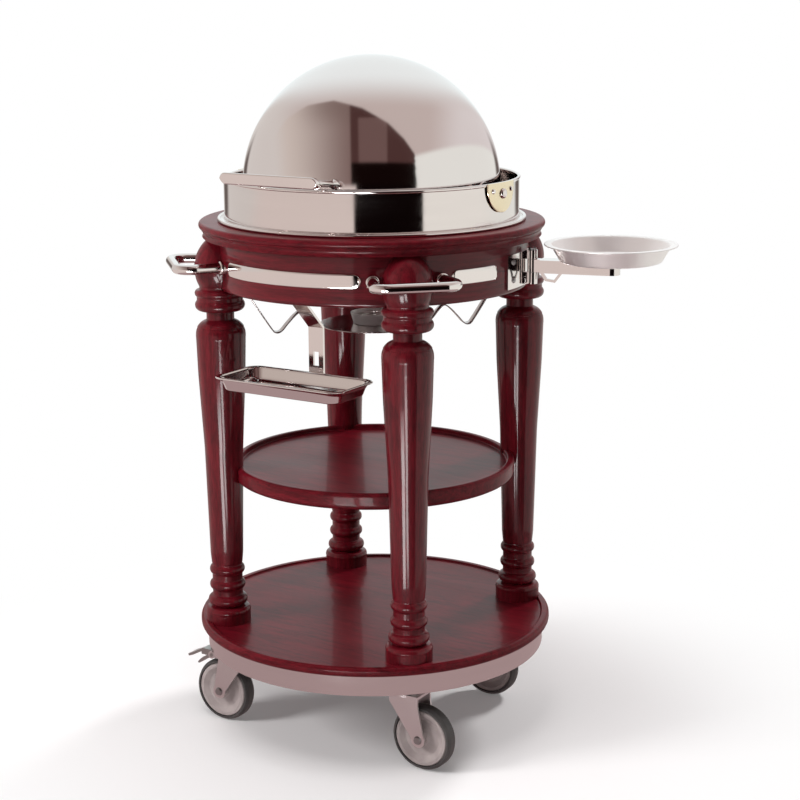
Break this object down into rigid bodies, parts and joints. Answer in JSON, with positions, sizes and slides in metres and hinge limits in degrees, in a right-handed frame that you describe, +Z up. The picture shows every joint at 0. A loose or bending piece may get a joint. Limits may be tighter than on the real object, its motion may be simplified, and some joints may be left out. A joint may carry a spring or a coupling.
{
  "type": "carving trolley",
  "caption": "Round wooden carving trolley with rolling steel dome, pan, burner, swing-out plate, tray, push handles and braked swivel casters.",
  "frame": {"origin": "on the floor, on the vertical axis of the round boards", "axes": "+Z up, front (dome handle, tray) towards -Y, plate arm towards +X"},
  "size_m": [0.7662, 0.58, 1.0927],
  "materials": {
    "mahogany": "dark red, high-gloss lacquer",
    "dark_wood": "dark red, sealed",
    "steel": "polished stainless",
    "brass": "polished",
    "grey_metal": "dark grey",
    "wheel_grey": "light grey",
    "tyre_grey": "dark grey",
    "fork_metal": "zinc plated",
    "maple": "oiled",
    "can": "satin"
  },
  "bodies": {
    "trolley": {"bottom_shelf": "mahogany", "middle_shelf": "mahogany", "apron": "mahogany", "top_board": "mahogany", "leg_front_left": "mahogany", "leg_front_right": "mahogany", "leg_back_right": "mahogany", "leg_back_left": "mahogany", "base_board": "dark_wood", "base_band": "steel", "band_front": "steel", "band_right": "steel", "band_back": "steel", "band_left": "steel", "drum": "steel", "pivot_shafts": "steel", "handle_front_left": "steel", "handle_front_right": "steel", "handle_flanges": "steel", "tray_bracket": "steel", "arm_bracket": "steel", "burner_cup": "steel", "drum_screws": "steel", "pivot_plates": "brass", "pan_frame": "grey_metal", "leg_bolts": "grey_metal", "burner_strap": "grey_metal", "caster_plate_screws": "grey_metal", "bracket_screws": "grey_metal", "shelf_dowels": "maple", "caster_plates": "fork_metal"},
    "dome": {"dome": "steel", "dome_handle": "steel", "dome_handle_posts": "steel"},
    "water_pan": {"water_pan": "steel"},
    "carving_board": {"carving_board": "maple"},
    "plate_arm": {"plate_arm": "steel", "arm_pin": "grey_metal"},
    "plate_dish": {"plate_dish": "steel"},
    "tray": {"tray": "steel"},
    "fuel_can": {"fuel_can": "can"},
    "caster_front_left": {"fork_front_left": "fork_metal", "axle_front_left": "grey_metal"},
    "wheel_front_left": {"wheel_front_left": "wheel_grey", "tyre_front_left": "tyre_grey"},
    "caster_front_right": {"fork_front_right": "fork_metal", "axle_front_right": "grey_metal"},
    "wheel_front_right": {"wheel_front_right": "wheel_grey", "tyre_front_right": "tyre_grey"},
    "caster_back_right": {"fork_back_right": "fork_metal", "axle_back_right": "grey_metal"},
    "wheel_back_right": {"wheel_back_right": "wheel_grey", "tyre_back_right": "tyre_grey"},
    "caster_back_left": {"fork_back_left": "fork_metal", "axle_back_left": "grey_metal"},
    "wheel_back_left": {"wheel_back_left": "wheel_grey", "tyre_back_left": "tyre_grey"},
    "brake_front_left": {"brake_front_left": "tyre_grey"},
    "brake_back_left": {"brake_back_left": "tyre_grey"}
  },
  "joints": [
    {"name": "dome_hinge", "type": "hinge", "parent": "trolley", "child": "dome", "pos_m": [0, 0, 0.888], "axis": [-1, 0, 0], "range_deg": [0, 80]},
    {"name": "pan_lift", "type": "slide", "parent": "trolley", "child": "water_pan", "axis": [0, 0, 1], "range_m": [0, 0.06]},
    {"name": "carving_board_lift", "type": "slide", "parent": "water_pan", "child": "carving_board", "axis": [0, 0, 1], "range_m": [0, 0.045]},
    {"name": "plate_arm_swing", "type": "hinge", "parent": "trolley", "child": "plate_arm", "pos_m": [0.25404, 0.06807, 0.77], "axis": [0, 0, 1], "range_deg": [-46, 46]},
    {"name": "plate_lift", "type": "slide", "parent": "plate_arm", "child": "plate_dish", "axis": [0, 0, 1], "range_m": [0, 0.05]},
    {"name": "tray_lift", "type": "slide", "parent": "trolley", "child": "tray", "axis": [0, 0, 1], "range_m": [0, 0.05]},
    {"name": "fuel_can_lift", "type": "slide", "parent": "trolley", "child": "fuel_can", "axis": [0, 0, 1], "range_m": [0, 0.05]},
    {"name": "swivel_front_left", "type": "hinge", "parent": "trolley", "child": "caster_front_left", "pos_m": [-0.16193, -0.16193, 0.12], "axis": [0, 0, 1], "continuous": true},
    {"name": "spin_front_left", "type": "hinge", "parent": "caster_front_left", "child": "wheel_front_left", "pos_m": [-0.19393, -0.16193, 0.0525], "axis": [0, 1, 0], "continuous": true},
    {"name": "swivel_front_right", "type": "hinge", "parent": "trolley", "child": "caster_front_right", "pos_m": [0.16193, -0.16193, 0.12], "axis": [0, 0, 1], "continuous": true},
    {"name": "spin_front_right", "type": "hinge", "parent": "caster_front_right", "child": "wheel_front_right", "pos_m": [0.19393, -0.16193, 0.0525], "axis": [0, 1, 0], "continuous": true},
    {"name": "swivel_back_right", "type": "hinge", "parent": "trolley", "child": "caster_back_right", "pos_m": [0.16193, 0.16193, 0.12], "axis": [0, 0, 1], "continuous": true},
    {"name": "spin_back_right", "type": "hinge", "parent": "caster_back_right", "child": "wheel_back_right", "pos_m": [0.12993, 0.16193, 0.0525], "axis": [0, 1, 0], "continuous": true},
    {"name": "swivel_back_left", "type": "hinge", "parent": "trolley", "child": "caster_back_left", "pos_m": [-0.16193, 0.16193, 0.12], "axis": [0, 0, 1], "continuous": true},
    {"name": "spin_back_left", "type": "hinge", "parent": "caster_back_left", "child": "wheel_back_left", "pos_m": [-0.19393, 0.16193, 0.0525], "axis": [0, 1, 0], "continuous": true},
    {"name": "pedal_front_left", "type": "hinge", "parent": "caster_front_left", "child": "brake_front_left", "pos_m": [-0.20793, -0.16193, 0.114], "axis": [0, -1, 0], "range_deg": [0, 6]},
    {"name": "pedal_back_left", "type": "hinge", "parent": "caster_back_left", "child": "brake_back_left", "pos_m": [-0.20793, 0.16193, 0.114], "axis": [0, -1, 0], "range_deg": [0, 6]}
  ]
}
